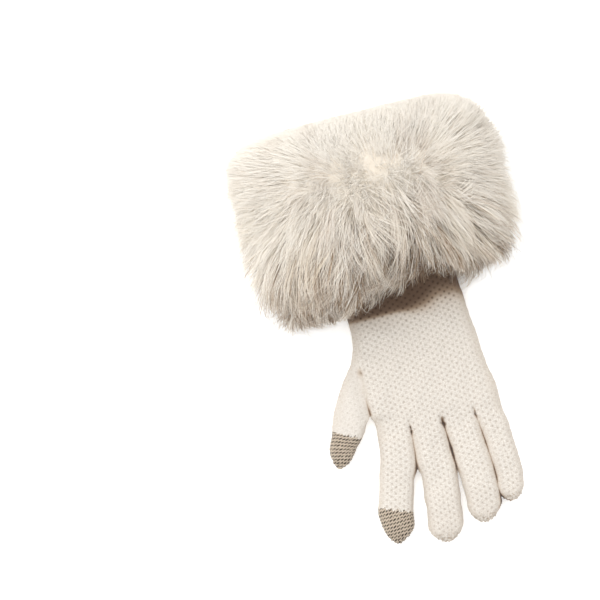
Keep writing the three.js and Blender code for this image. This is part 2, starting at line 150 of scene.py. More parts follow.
# Glove: one piece of ivory wool and acrylic yarn, knitted in the round on a fine machine. The tube of
# the wrist and palm divides at the thumb and at the knuckles into smaller tubes, which run on to closed
# tips. It is empty and lies flat, so that its underside is level and its top is softly crowned.
SIDE_ROUNDING = 0.72
CROWN_ROUNDING = 0.8
FLAT_SHARE = 1.3
ARC_POINTS = 161
KNIT_WALL = 2.2
RING_COUNT = 424  # points round the widest ring, thumb and palm together
COARSE_SHARE = 4
ROW_STEP = 0.9
SLEEVE_STEP = 6.0
CROTCH_HALF = 4  # points from the middle of a dividing line to its top
# The denser knitting at the sides is also drawn darker, as painted shade on the sides.
EDGE_REACH = 9.0  # how far the denser knitting reaches in from the tube's sides
FUR_HIDES_FROM = 118.0
CUFF_MOUTH = 207.0
THUMB_CROTCH = 16.5
BLEND_LENGTH = 9.0

# Rows of y, left edge, right edge, thickness and lift off the table, from the open end to the knuckles.
TUBE_ROWS = np.array([
    (CUFF_MOUTH, -49.9, 42.1, 27.0, 10.0),
    (174.0, -49.3, 41.5, 25.7, 10.0),
    (145.0, -48.0, 40.2, 22.9, 9.3),
    (123.0, -46.4, 38.6, 19.5, 7.5),
    (106.0, -45.2, 37.5, 17.2, 4.5),
    (95.0, -44.8, 37.1, 16.3, 2.4),
    (76.0, -45.2, 37.6, 16.0, 0.4),
    (61.0, -45.4, 38.4, 16.0, 0.0),
    (45.6, -45.5, 39.8, 16.0, 0.0),
    (30.4, -45.1, 42.1, 16.0, 0.0),
    (15.2, -44.9, 43.8, 15.2, 0.0),
    (5.0, -45.0, 44.6, 14.2, 0.0),
    (0.0, -45.0, 45.0, 13.4, 0.0),
])
# The outer edge of the thumb down to its crotch, as rows of y and x.
THUMB_EDGE = np.array([
    (80.0, -45.2), (71.0, -45.7), (65.0, -46.8), (60.0, -48.6), (54.0, -51.7), (49.0, -55.4), (39.0, -62.0),
    (32.0, -66.2), (25.0, -69.6), (THUMB_CROTCH, -73.0),
])
# Each tube past the palm: rows of x, y and width along its middle line, its thickness, how far from
# its end it starts to round off, the length of its touch tip and how far that tip's edge slants.
DIGITS = {
    "thumb": ([(-59.6, THUMB_CROTCH, 26.8), (-64.6, 8.0, 21.6), (-69.8, -1.0, 18.9), (-76.2, -14.4, 16.6)],
              13.0, 15.0, 23.5, 0.0),
    "index": ([(-33.0, 0, 23.9), (-37.2, -25.2, 24.5), (-44.2, -50.3, 24.6), (-48.6, -75.5, 23.6)],
              13.0, 19.5, 23.5, 0.15),
    "middle": ([(-9.6, 0, 22.7), (-9.5, -27.5, 24.9), (-11.6, -55.0, 24.8), (-14.4, -82.5, 24.8)],
               13.2, 14.5, 0, 0),
    "ring": ([(13.6, 0, 23.3), (15.4, -25.2, 23.7), (17.0, -50.3, 23.2), (14.6, -75.5, 23.6)],
             13.0, 14.0, 0, 0),
    "little": ([(35.2, 0, 19.6), (37.4, -21.8, 19.2), (38.6, -43.7, 19.0), (35.7, -65.5, 18.6)],
               12.4, 12.0, 0, 0),
}
KNUCKLE_LINES = (-21.0, 1.8, 25.2)  # x of the lines where the palm divides into fingers
# Neighbouring fingers touch from the knuckles down to these distances: on the left and right of each.
TOUCHING = {"thumb": (0, 0), "index": (0, 24.0), "middle": (24.0, 30.0), "ring": (30.0, 62.0),
            "little": (62.0, 0)}
TOUCHING_GROWTH = 1.5
FINGER_BLEND = 6.0


def smooth_step(value):
    value = np.clip(value, 0, 1)
    return value * value * (3 - 2 * value)


def bump(value, middle, spread):
    """A soft hill of height 1."""
    return np.exp(-(((value - middle) / spread) ** 2))


def table_at(rows, at):
    """Every further column of a table at a place along its first column, on a smooth curve."""
    rows = rows[np.argsort(rows[:, 0])]
    places, values = rows[:, 0], rows[:, 1:]
    slopes = np.gradient(values, places, axis=0)
    i = int(np.clip(np.searchsorted(places, at) - 1, 0, len(places) - 2))
    span = places[i + 1] - places[i]
    u = np.clip((at - places[i]) / span, 0, 1)
    ends = values[i] * (1 - u) ** 2 * (1 + 2 * u) + values[i + 1] * u * u * (3 - 2 * u)
    return ends + span * (slopes[i] * u * (1 - u) ** 2 - slopes[i + 1] * u * u * (1 - u))


def signed_power(value, power):
    return np.sign(value) * np.abs(value) ** power


def tube_section(width, thickness, lift, steps):
    """A ring of 2 * steps points round a lying tube, as place across, height and way from the middle.

    It runs from the left edge over the top to the right edge and back along the underside."""
    halves = []
    for side in (1, -1):
        angle = np.linspace(math.pi, 0, ARC_POINTS)
        across = width / 2 * signed_power(np.cos(angle), SIDE_ROUNDING)
        rise = side * np.abs(np.sin(angle)) ** CROWN_ROUNDING
        rise = np.where(rise < 0, np.maximum(rise * FLAT_SHARE, -1), rise)
        height = lift + thickness / 2 * (1 + rise)
        way = np.concatenate([[0], np.cumsum(np.hypot(np.diff(across), np.diff(height)))])
        even = np.linspace(0, way[-1], steps + 1)
        halves.append((np.interp(even, way, across), np.interp(even, way, height), even - way[-1] / 2))
    back = slice(steps - 1, 0, -1)
    top, under = halves
    under_way = under[2] * top[2][-1] / under[2][-1]
    return (np.concatenate([top[0], under[0][back]]), np.concatenate([top[1], under[1][back]]),
            np.concatenate([top[2], under_way[back]]))


class Skin:
    """Collects rings of points in mm, with the place of each in the knitting, and the faces between them."""

    def __init__(self):
        self.points, self.stitches, self.marks, self.faces, self.parts = [], [], [], [], []

    def ring(self, points, stitches, marks):
        """Adds a ring. Its marks, from 0 to 1, are: dense edge, thumb, near a tip, and painted shade, deep in
        creases, puckers and under the fur.
        """
        start = len(self.points)
        self.points.extend(np.asarray(points, dtype=float))
        self.stitches.extend(np.asarray(stitches, dtype=float))
        self.marks.extend(np.broadcast_to(marks, (len(points), 4)))
        return list(range(start, start + len(points)))

    def bridge(self, ring, after, part=0):
        """Quads from one ring to the next, which has as many points. The part is one number or one a quad."""
        count = len(ring)
        for i in range(count):
            j = (i + 1) % count
            self.faces.append((ring[i], after[i], after[j], ring[j]))
        self.parts.extend([part] * count if isinstance(part, int) else part)

    def thin(self, fine, coarse):
        """Triangles from a fine ring to one that has a point for each of its COARSE_SHARE points."""
        for k in range(len(coarse)):
            k_next = (k + 1) % len(coarse)
            for step in range(COARSE_SHARE):
                a, b = (k * COARSE_SHARE + step) % len(fine), (k * COARSE_SHARE + step + 1) % len(fine)
                near = k if step < COARSE_SHARE // 2 else k_next
                self.faces.append((fine[a], fine[b], coarse[near]))
                if step == COARSE_SHARE // 2 - 1:
                    self.faces.append((fine[b], coarse[k_next], coarse[k]))
                    self.parts.append(0)
                self.parts.append(0)

    def close(self, ring, part=0):
        """A fan from a ring to its middle."""
        middle = self.ring([np.mean([self.points[i] for i in ring], axis=0)],
                           [np.mean([self.stitches[i] for i in ring], axis=0)], self.marks[ring[0]])[0]
        for i in range(len(ring)):
            self.faces.append((ring[i], middle, ring[(i + 1) % len(ring)]))
        self.parts.extend([part] * len(ring))

    def divide(self, ring, columns, sag):
        """Divides a flat ring at top columns into rings side by side, with a short curved line of new
        points from top to underside at each column, sunk by sag towards the open end."""
        count, top = len(ring), len(ring) // 2
        lines = []
        for column in columns:
            above, below = self.points[ring[column]], self.points[ring[count - column]]
            steps = np.linspace(0, 1, 2 * CROTCH_HALF + 3)[1:-1, None]
            line = above + (below - above) * steps + np.array([0, 1, 0]) * sag * np.sin(math.pi * steps)
            stitch = np.repeat([self.stitches[ring[column]]], len(line), axis=0)
            lines.append(self.ring(line, stitch, self.marks[ring[column]]))
        rings = []
        for k in range(len(columns) + 1):
            first = columns[k - 1] if k else 0
            last = columns[k] if k < len(columns) else top
            part = []
            if k:
                part += lines[k - 1][CROTCH_HALF::-1]
            part += ring[first:last + 1]
            if k < len(columns):
                part += lines[k]
            back = range(last if last < top else top - 1, max(first, 1) - 1, -1)
            part += [ring[(count - i) % count] for i in back]
            if k:
                part += lines[k - 1][:CROTCH_HALF:-1]
            rings.append(part)
        return rings


skin = Skin()
TOP_STEPS = RING_COUNT // 2


def lying_ring(y, steps, left=None):
    """Points and stitches of the tube's ring at y, with its left edge moved out to the thumb's."""
    tube_left, right, thickness, lift = table_at(TUBE_ROWS, y)
    left = tube_left if left is None else left
    across, height, way = tube_section(right - left, thickness, lift, steps)
    across = across + (left + right) / 2
    points = np.stack([across, np.full_like(across, y), height], axis=1)
    return points, np.stack([(left + right) / 2 + way, np.full_like(across, y)], axis=1)


def edge_mark(points):
    """How near each point of a ring is to its side edges, from 0 to 1."""
    across = points[:, 0]
    half = (across.max() - across.min()) / 2
    off = np.abs(across - (across.max() + across.min()) / 2)
    return smooth_step((off - half + EDGE_REACH) / EDGE_REACH)


# Wrist, back of the hand and thumb root, down to the thumb's crotch. The thumb lies a little lower than
# the hand, with a fold between them that deepens towards the crotch.
FOLD_X = -46.0
FOLD_FROM, FOLD_FULL = 54.0, 34.0
VALLEY_DEPTH, VALLEY_REACH = 2.4, 5.5
FOLD_DEPTH, FOLD_REACH = 1.8, 1.5
THUMB_DROP = 1.6
ring, first_ring = None, None
for y in np.linspace(FUR_HIDES_FROM, THUMB_CROTCH, round((FUR_HIDES_FROM - THUMB_CROTCH) / ROW_STEP) + 1):
    thumb_edge = table_at(THUMB_EDGE, y)[0] if y < THUMB_EDGE[0, 0] else None
    points, stitches = lying_ring(y, TOP_STEPS, thumb_edge)
    across = points[:, 0]
    thumbness = smooth_step((FOLD_X + 1.0 - across) / 3) * smooth_step((66 - y) / 20)
    deep = smooth_step((FOLD_FROM - y) / (FOLD_FROM - FOLD_FULL))
    tube_middle = table_at(TUBE_ROWS, y)[3] + table_at(TUBE_ROWS, y)[2] / 2
    above = np.clip((points[:, 2] - tube_middle) / 5, -1, 1)
    fold = (VALLEY_DEPTH * bump(across, FOLD_X - 1, VALLEY_REACH)
            + FOLD_DEPTH * bump(across, FOLD_X, FOLD_REACH) * smooth_step((44 - y) / 24))
    points[:, 2] -= above * deep * np.where(above > 0, fold, fold * 0.4)
    points[:, 2] -= np.where(above > 0, THUMB_DROP * thumbness * above, 0)
    # The fold is drawn darker, and dark brown near the crotch: painted shade in the fold.
    gathered = np.maximum(edge_mark(points), 0.9 * deep * bump(across, FOLD_X, 2.2))
    painted_shade = 0.9 * smooth_step((30 - y) / 12) * bump(across, FOLD_X, 1.0)
    marks = np.stack([gathered, thumbness, np.zeros(len(points)), painted_shade], axis=1)
    after = skin.ring(points, stitches, marks)
    if ring is None:
        first_ring = after
    else:
        skin.bridge(ring, after)
    ring = after


def nearest_column(ring, x):
    """The number of the ring's top point that is nearest to x."""
    tops = np.array([skin.points[i][0] for i in ring[:len(ring) // 2]])
    return int(np.argmin(np.abs(tops - x)))


def blended(start, points, share):
    """A ring between the shape it starts from and its own shape."""
    return start * (1 - share) + points * share


thumb_ring, palm_ring = skin.divide(ring, [nearest_column(ring, FOLD_X)], sag=1.5)
start = np.array([skin.points[i] for i in palm_ring])
start_stitches = np.array([skin.stitches[i] for i in palm_ring])
ring = palm_ring
for y in np.linspace(THUMB_CROTCH, 0, round(THUMB_CROTCH / ROW_STEP) + 1)[1:]:
    points, stitches = lying_ring(y, len(palm_ring) // 2)
    share = smooth_step((THUMB_CROTCH - y) / BLEND_LENGTH)
    moved = start + np.array([0, y - THUMB_CROTCH, 0])
    moved_stitches = np.stack([start_stitches[:, 0], np.full(len(points), y)], axis=1)
    points = blended(moved, points, share)
    wide_dip, dip = 1.3 * smooth_step((9 - y) / 9), 3.6 * smooth_step((4 - y) / 4)
    over = smooth_step((points[:, 2] - 6) / 3)
    # Painted shade in the knuckle creases where the fingers divide.
    painted_shade = np.zeros(len(points))
    for line in KNUCKLE_LINES:
        across = points[:, 0]
        points[:, 2] -= over * (wide_dip * bump(across, line, 2.6) + dip * bump(across, line, 1.1))
        painted_shade += smooth_step((5 - y) / 4) * bump(across, line, 0.6)
    marks = np.stack([edge_mark(points), np.zeros(len(points)), np.zeros(len(points)), painted_shade], axis=1)
    after = skin.ring(points, blended(moved_stitches, stitches, share), marks)
    skin.bridge(ring, after)
    ring = after
finger_rings = skin.divide(ring, [nearest_column(ring, x) for x in KNUCKLE_LINES], sag=1.2)


def digit(name, ring, part):
    """Runs a tube on from its divided ring to a closed round tip. Its touch tip gets the part's number."""
    rows, thickness, rounding, touch_length, slant = DIGITS[name]
    rows = np.array(rows, dtype=float)
    knots = np.concatenate([[0], np.cumsum(np.hypot(*np.diff(rows[:, :2], axis=0).T))])
    curve = np.column_stack([knots, rows])
    total = knots[-1]
    straight = np.arange(ROW_STEP, total - rounding, ROW_STEP)
    turns = np.linspace(0, math.pi / 2, round(rounding * 1.25 / ROW_STEP))[1:-1]
    places = np.concatenate([straight, total - rounding + rounding * np.sin(turns)])
    start = np.array([skin.points[i] for i in ring])
    start_stitches = np.array([skin.stitches[i] for i in ring])
    start_marks = np.array([skin.marks[i] for i in ring])
    root = rows[0, :2]
    middle_stitch = rows[0, 0]
    for place in places:
        x, y, width = table_at(curve, place)
        ahead = table_at(curve, min(place + 1, total))[:2] - table_at(curve, max(place - 1, 0))[:2]
        ahead /= np.hypot(*ahead)
        turned = smooth_step(place / 14)
        side = np.array([1, 0]) * (1 - turned) + np.array([-ahead[1], ahead[0]]) * turned
        side /= np.hypot(*side)
        q = max(0.0, 1 - (total - place) / rounding)
        narrow = (1 - q * q) ** (0.7 if touch_length else 0.6)
        thin = (1 - q ** 2.4) ** 0.5
        across, height, way = tube_section(width * narrow, thickness * (0.16 + 0.84 * thin),
                                           thickness * 0.26 * (1 - thin), len(ring) // 2)
        half = np.abs(across).max()
        # Painted shade along the sides where neighbouring fingers touch.
        painted_shade = np.zeros(len(way))
        for direction, reach in zip((-1, 1), TOUCHING[name]):
            touching = (1 - smooth_step((place - reach) / 9)) * (reach > 0)
            toward = smooth_step(direction * across / half)
            painted_shade += touching * smooth_step((direction * across - half + 2.1) / 1.4)
            across = across + direction * TOUCHING_GROWTH * touching * toward
        tilt = slant * bump(place, total - touch_length, 16) * smooth_step(place / 20)
        flat = np.array([x, y]) + across[:, None] * side + tilt * across[:, None] * ahead
        points = np.column_stack([flat, height])
        share = smooth_step(place / FINGER_BLEND)
        relative = start[:, :2] - root
        moved_flat = np.array([x, y]) + relative[:, :1] * side + relative[:, 1:] * np.array([0, 1])
        moved = np.column_stack([moved_flat, start[:, 2]])
        points = blended(moved, points, share)
        own = np.column_stack([middle_stitch + way, np.full(len(way), root[1] - place) - tilt * across])
        held = np.column_stack([start_stitches[:, 0], np.full(len(way), root[1] - place)])
        dense = smooth_step((np.abs(across) - half + 5.5) / 5.5)
        marks = np.column_stack([dense, np.full(len(way), float(name == "thumb")),
                                 np.full(len(way), 1 - smooth_step((total - place - 3) / 6)), painted_shade])
        marks[:, :3] = blended(start_marks[:, :3], marks[:, :3], share)
        after = skin.ring(points, blended(held, own, share), marks)
        ragged = 0.5 * np.sin(2.9 * across) + 0.5 * np.sin(1.3 * across + 1)
        in_tip = touch_length > 0 and place + ragged > total - touch_length
        skin.bridge(ring, after, [part if at else 0 for at in np.broadcast_to(in_tip, len(ring))])
        ring = after
    skin.close(ring, part if touch_length else 0)


INDEX_PART, THUMB_PART = 1, 2
digit("thumb", thumb_ring, THUMB_PART)
for name, finger_ring in zip(("index", "middle", "ring", "little"), finger_rings):
    digit(name, finger_ring, INDEX_PART)

# Sleeve inside the fur: the same tube on to its open end, and its inner side back to the knuckles.
ring, steps = first_ring, TOP_STEPS // COARSE_SHARE
for y in np.linspace(FUR_HIDES_FROM, CUFF_MOUTH, round((CUFF_MOUTH - FUR_HIDES_FROM) / SLEEVE_STEP) + 1)[1:]:
    points, stitches = lying_ring(y, steps)
    after = skin.ring(points, stitches, (0, 0, 0, 0))
    if len(after) == len(ring):
        skin.bridge(ring, after)
    else:
        skin.thin(ring, after)
    ring = after


def inner_ring(y, inset):
    """The ring of the tube's inner side at y."""
    left, right, thickness, lift = table_at(TUBE_ROWS, y)
    across, height, way = tube_section(right - left - 2 * inset, thickness - 2 * inset, lift + inset, steps)
    points = np.column_stack([across + (left + right) / 2, np.full(len(across), y), height])
    return skin.ring(points, np.column_stack([(left + right) / 2 + way, np.full(len(way), y)]), (0, 0, 0, 0))


LINING_STEP = 10.0
LINING_END = 6.0
lining_start = len(skin.points)
for y in np.linspace(CUFF_MOUTH, LINING_END, round((CUFF_MOUTH - LINING_END) / LINING_STEP)):
    after = inner_ring(y, KNIT_WALL)
    skin.bridge(ring, after)
    ring = after
skin.close(ring)

# Every stitch of the honeycomb pulls a small oval pit into the fabric. Pits stand in columns 3.05 mm
# apart and follow each other every 4.4 mm, and neighbouring columns are half a step apart.
PIT_COLUMN = 3.05
PIT_ROW = 2.2
PIT_DEPTH = 0.42
# The cloth isn't quite flat as it lies: length and height of its waves.
CLOTH_WAVES = ((46, 0.5), (23, 0.3), (11, 0.12))


def mesh_object(name, points, faces):
    """A mesh object from points in mm and faces, with its normals turned outward."""
    mesh = bpy.data.meshes.new(name)
    mesh.from_pydata(in_metres(points).tolist(), [], faces)
    shape = bmesh.new()
    shape.from_mesh(mesh)
    bmesh.ops.recalc_face_normals(shape, faces=shape.faces)
    shape.to_mesh(mesh)
    shape.free()
    made = bpy.data.objects.new(name, mesh)
    bpy.context.scene.collection.objects.link(made)
    return made


def corner_vertices(mesh):
    """The number of the vertex at every corner of a mesh's faces."""
    corners = np.empty(len(mesh.loops), dtype=int)
    mesh.loops.foreach_get("vertex_index", corners)
    return corners


def vertex_normals(mesh):
    normals = np.empty(len(mesh.vertices) * 3)
    mesh.vertices.foreach_get("normal", normals)
    return normals.reshape(-1, 3)


def honeycomb(across, along):
    """The lattice of the pits: 1 in the middle of each pit, down to 0 between them."""
    wave = np.cos(math.pi * across / PIT_COLUMN) * np.cos(math.pi * along / PIT_ROW)
    return np.clip(wave, 0, 1) ** 2.5


def wrist_border(x):
    """Where the hair ends over the back of the wrist, shorter towards the little finger's side."""
    return 87 + 17 * smooth_step((x + 8) / 30) - 8 * smooth_step((x - 30) / 12)


rng = np.random.default_rng(7)
points, stitches, marks = (np.array(each) for each in (skin.points, skin.stitches, skin.marks))
parts = np.array(skin.parts)
whole = mesh_object("knit_whole", points, skin.faces)
normals = vertex_normals(whole.data)
across, down, up = points.T
outside = np.arange(len(points)) < lining_start
dense, thumbness, tipness = marks.T[:3]
relief = -PIT_DEPTH * honeycomb(*stitches.T) * (1 - 0.8 * thumbness) * (1 - dense) * (1 - tipness)
for length, size in CLOTH_WAVES:
    turn = rng.uniform(0, math.pi, 4)
    phase = rng.uniform(0, 2 * math.pi, 4)
    for angle, shift in zip(turn, phase):
        along = across * math.cos(angle) + down * math.sin(angle)
        relief += size / 2 * np.sin(2 * math.pi * along / length + shift)
gather = np.cos(2 * math.pi * stitches[:, 1] / 1.9
                + 1.8 * np.sin(stitches[:, 0] * 0.9 + 0.6 * stitches[:, 1]))
knots = np.sin(across * 1.7 + 1.3 * down) * np.sin(down * 2.1 - 0.8 * across)
relief += tipness * (0.25 * gather + 0.6 * knots) + 0.22 * dense * (1 - tipness) * knots
# The yarn is drawn together where the tubes divide: at the top of the thumb's fold and between fingers.
# Each row is x, y, size, depth and how dark the painted shade in its hollow is.
PUCKERS = ((-46.2, 47.0, 3.2, 0.9, 0.5), (-20.8, 4.5, 1.6, 0.4, 0.1), (1.8, 3.5, 1.6, 0.4, 0.1),
           (25.2, 4.5, 1.6, 0.4, 0.1))
for x, y, size, depth, shade_strength in PUCKERS:
    off = np.hypot(across - x, (down - y) * 0.7)
    relief -= depth * bump(off, 0, size) * (up > 5)
    marks[:, 3] = np.maximum(marks[:, 3], shade_strength * bump(off, 0, size * 0.6) * (up > 5))
# Near the cuff the knitting lies in the deep shade of the fur: that shade is painted into its colour, darkest
# just under the hair's edge, and the fingers are painted a little darker towards their tips.
reach = 8 + 18 * smooth_step((across + 10) / 25)
shade = smooth_step((down - wrist_border(across) + reach) / (0.75 * reach))
painted_darkening = (0.25 * smooth_step((down - 66) / 24) + 0.7 * shade
           + 0.05 * smooth_step((-40 - down) / 40))
marks[:, 3] = np.maximum(marks[:, 3], painted_darkening * smooth_step((150 - down) / 20))
relief = np.where(outside & (up > 1.0), relief, 0)
moved = points + normals * relief[:, None]
moved[:, 2] = np.maximum(moved[:, 2], 0.0)
bpy.data.objects.remove(whole)


def knit_piece(name, part):
    """The faces of one part as a mesh, with its stitch places and marks."""
    chosen = [face for face, at in zip(skin.faces, parts) if at == part]
    used = sorted({i for face in chosen for i in face})
    number = {old: new for new, old in enumerate(used)}
    piece = mesh_object(name, moved[used], [tuple(number[i] for i in face) for face in chosen])
    corners = corner_vertices(piece.data)
    places = piece.data.uv_layers.new(name="stitches")
    places.data.foreach_set("uv", (stitches[used][corners] * MM).ravel())
    colour = piece.data.color_attributes.new("marks", "FLOAT_COLOR", "POINT")
    colour.data.foreach_set("color", marks[used].ravel())
    piece.data.polygons.foreach_set("use_smooth", [True] * len(piece.data.polygons))
    return piece


def maths(tree, operation, *values, clamp=False):
    """A math node fed with numbers or with other nodes' outputs; gives its output."""
    made = tree.nodes.new("ShaderNodeMath")
    made.operation = operation
    made.use_clamp = clamp
    for i, value in enumerate(values):
        if isinstance(value, (int, float)):
            made.inputs[i].default_value = value
        else:
            tree.links.new(value, made.inputs[i])
    return made.outputs[0]


def product(tree, *values):
    """Numbers or other nodes' outputs multiplied with each other."""
    result = values[0]
    for value in values[1:]:
        result = maths(tree, "MULTIPLY", result, value)
    return result


def noise(tree, place, scale, detail, roughness=0.5):
    """Cloudy noise; its scale is in patches a metre, so 1000 is 1 mm."""
    made = node(tree, "TexNoise", {"Scale": scale, "Detail": detail, "Roughness": roughness},
                {"Vector": place})
    return made.outputs["Fac"]


def knit_surface(tree, output, base, height, roughness, sheen):
    """A woolly surface of a colour, with the relief of its yarn."""
    relief = node(tree, "Bump", {"Strength": 0.7, "Distance": MM}, {"Height": height})
    surface = node(tree, "BsdfPrincipled", {
        "Roughness": roughness, "Sheen Weight": sheen, "Sheen Roughness": 0.5},
        {"Base Color": base, "Normal": relief.outputs["Normal"]})
    tree.links.new(surface.outputs["BSDF"], output.inputs["Surface"])


def mixed(tree, share, first, second):
    """A colour between two, given as hex or as outputs; share is a number or an output."""
    made = tree.nodes.new("ShaderNodeMix")
    made.data_type = "RGBA"
    for name, value in (("Factor", share), ("A", first), ("B", second)):
        kind = "VALUE" if name == "Factor" else "RGBA"
        socket = [s for s in made.inputs if s.name == name and s.type == kind][0]
        if isinstance(value, str):
            socket.default_value = linear(value)
        elif isinstance(value, (int, float)):
            socket.default_value = value
        else:
            tree.links.new(value, socket)
    return [s for s in made.outputs if s.type == "RGBA"][0]


STITCH_WANDER = 0.9


def stitch_place(tree):
    """The place in the knitting in mm, across and along, with a slight wander, then the four marks and
    the place in metres."""
    uv = node(tree, "UVMap", {"uv_map": "stitches"})
    wander = node(tree, "TexNoise", {"Scale": 160.0, "Detail": 2.0}, {"Vector": uv.outputs["UV"]})
    centred = node(tree, "VectorMath", {"operation": "SUBTRACT", 1: (0.5, 0.5, 0.5)},
                   {0: wander.outputs["Color"]})
    shift = node(tree, "VectorMath", {"operation": "SCALE", "Scale": STITCH_WANDER * MM},
                 {0: centred.outputs[0]})
    place = node(tree, "VectorMath", {"operation": "ADD"},
                 {0: uv.outputs["UV"], 1: shift.outputs[0]})
    split = node(tree, "SeparateXYZ", {}, {"Vector": place.outputs[0]})
    across = maths(tree, "MULTIPLY", split.outputs["X"], 1 / MM)
    along = maths(tree, "MULTIPLY", split.outputs["Y"], 1 / MM)
    marks = node(tree, "Attribute", {"attribute_name": "marks"})
    mark = node(tree, "SeparateColor", {}, {"Color": marks.outputs["Color"]})
    return (across, along, mark.outputs["Red"], mark.outputs["Green"], mark.outputs["Blue"],
            marks.outputs["Alpha"], place.outputs[0])


LOOP_HALF, LOOP_ROW = 0.375, 0.55


def yarn_relief(tree, across, along):
    """Height of the plain loops: V shapes 0.75 mm wide that follow each other every 0.55 mm."""
    fold = maths(tree, "PINGPONG", across, LOOP_HALF)
    slanted = maths(tree, "ADD", along, product(tree, fold, 0.9))
    rows = maths(tree, "COSINE", product(tree, slanted, 2 * math.pi / LOOP_ROW))
    legs = maths(tree, "SINE", product(tree, fold, math.pi / LOOP_HALF))
    return maths(tree, "MULTIPLY", maths(tree, "ADD", rows, 1.4), legs)


yarn, tree, output = new_material("ivory wool and acrylic, machine knitted honeycomb")
across, along, dense, thumbness, tipness, painted_shade, place = stitch_place(tree)
columns = maths(tree, "COSINE", product(tree, across, math.pi / PIT_COLUMN))
rows = maths(tree, "COSINE", product(tree, along, math.pi / PIT_ROW))
pit = product(tree, maths(tree, "MAXIMUM", product(tree, columns, rows), 0.0),
              maths(tree, "POWER", maths(tree, "ABSOLUTE", columns), 1.5))
# The thumb is painted paler, with fainter pits: painted light, as the thumb lies brightest.
faint = maths(tree, "SUBTRACT", 1.0, product(tree, thumbness, 0.6))
open_part = maths(tree, "SUBTRACT", 1.0, product(tree, maths(tree, "MAXIMUM", dense, tipness), 0.85))
pit_shade = product(tree, pit, faint, open_part)
cloud = maths(tree, "MULTIPLY_ADD", noise(tree, place, 1150.0, 3.0, 0.6), 2.6, -0.8, clamp=True)
base = mixed(tree, cloud, "#CCC1B4", "#F2EDE5")
# The tube's sides, where the knitting is denser, and the thumb's fold are drawn a darker beige: partly the
# denser yarn, partly painted shade on surfaces turned from the light.
base = mixed(tree, product(tree, dense, 0.55), base, "#D0C5B8")
# Painted light: the thumb is paler.
base = mixed(tree, product(tree, thumbness, 0.4), base, "#E2DBD2")
speck = maths(tree, "MULTIPLY_ADD", noise(tree, place, 620.0, 2.0), 4.5, -2.1, clamp=True)
base = mixed(tree, product(tree, tipness, 0.75, speck), base, "#9C8467")
base = mixed(tree, product(tree, dense, 0.3, speck), base, "#AE9878")
uneven = noise(tree, place, 330.0, 1.0)
pit_shade = product(tree, pit_shade, maths(tree, "MULTIPLY_ADD", uneven, 1.6, 0.1))
base = mixed(tree, maths(tree, "MULTIPLY", pit_shade, 0.56, clamp=True), base, "#A69788")
# Painted shade: creases are tan at their edges and dark brown inside, and so is the shade under the fur; pits
# in deep shade are darker still.
base = mixed(tree, maths(tree, "MULTIPLY", painted_shade, 1.5, clamp=True), base, "#B0987F")
base = mixed(tree, maths(tree, "MULTIPLY_ADD", painted_shade, 1.6, -0.6, clamp=True), base, "#543C2A")
deep_pit = maths(tree, "MULTIPLY", pit_shade, product(tree, painted_shade, 1.2), clamp=True)
base = mixed(tree, deep_pit, base, "#46301E")
loops = yarn_relief(tree, across, along)
height = maths(tree, "SUBTRACT", product(tree, loops, 0.05), product(tree, pit_shade, 0.3))
knit_surface(tree, output, base, height, roughness=0.85, sheen=0.25)

glove = knit_piece("knit_glove", 0)
glove.data.materials.append(yarn)
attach(glove, "root")
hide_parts("knit_hand", "index_finger", "middle_finger", "ring_finger", "little_finger", "thumb")

# Touch tips: the ends of the index finger and the thumb, knitted on in a taupe yarn with metal fibre.
# Its darker strands show as short dashes in rows that rise to the right.
WALE = 2.4
DASH_ROW = 2.4
touch, tree, output = new_material("taupe conductive yarn, knitted plain")
across, along, dense, thumbness, tipness, painted_shade, place = stitch_place(tree)
wale = maths(tree, "SUBTRACT", maths(tree, "FRACT", maths(tree, "DIVIDE", across, WALE)), 0.5)
rising = maths(tree, "MULTIPLY_ADD", across, -0.2, maths(tree, "MULTIPLY_ADD", wale, -0.5 * WALE, along))
band = maths(tree, "COSINE", product(tree, rising, 2 * math.pi / DASH_ROW))
off_middle = maths(tree, "ABSOLUTE", product(tree, wale, 2.0))
within = maths(tree, "SUBTRACT", 1.0, maths(tree, "POWER", off_middle, 5.0))
broken = noise(tree, place, 700.0, 2.0)
dash = maths(tree, "MULTIPLY", maths(tree, "MULTIPLY_ADD", band, 2.0, 0.65, clamp=True),
             maths(tree, "MULTIPLY_ADD", broken, 4.0, -1.0, clamp=True), clamp=True)
dash = product(tree, dash, within)
base = mixed(tree, noise(tree, place, 1500.0, 3.0), "#9A856D", "#E6D8C4")
base = mixed(tree, dash, base, "#33251A")
loops = yarn_relief(tree, across, along)
height = maths(tree, "SUBTRACT", product(tree, loops, 0.06), product(tree, dash, 0.12))
knit_surface(tree, output, base, height, roughness=0.7, sheen=0.15)
for name, part, cad_node in (("index_tip", INDEX_PART, "index_touch_tip"),
                             ("thumb_tip", THUMB_PART, "thumb_touch_tip")):
    tip = knit_piece(name, part)
    tip.data.materials.append(touch)
    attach(tip, "root")
    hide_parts(cad_node)

# Cuff: long cream fox-type fur on a leather band that is sewn round the sleeve. The pile stands in
# clumps on a paler, dense under-fur. It parts along a crest across the back of the wrist, lies smooth
# towards the open end, and falls over the hand in deep locks.
HIDE_MIDDLE = 169.0
HIDE_REACH = 36.0
CUFF_MIDDLE = 156.5
CUFF_WIDTH, CUFF_LENGTH, CUFF_HEIGHT = 196.0, 133.0, 80.0
CUFF_SHIFT = 5.0
HIDE_THICKNESS = 2.0
MOST_LEAN = math.radians(82)
RING_ROUNDING = 0.86
CORNER_SQUARENESS = (2.3, 3.3)  # of the pile seen from above: at the open end and over the hand; 2 is round
SQUARER_LEFT = 0.4
PRESSED = 1.6
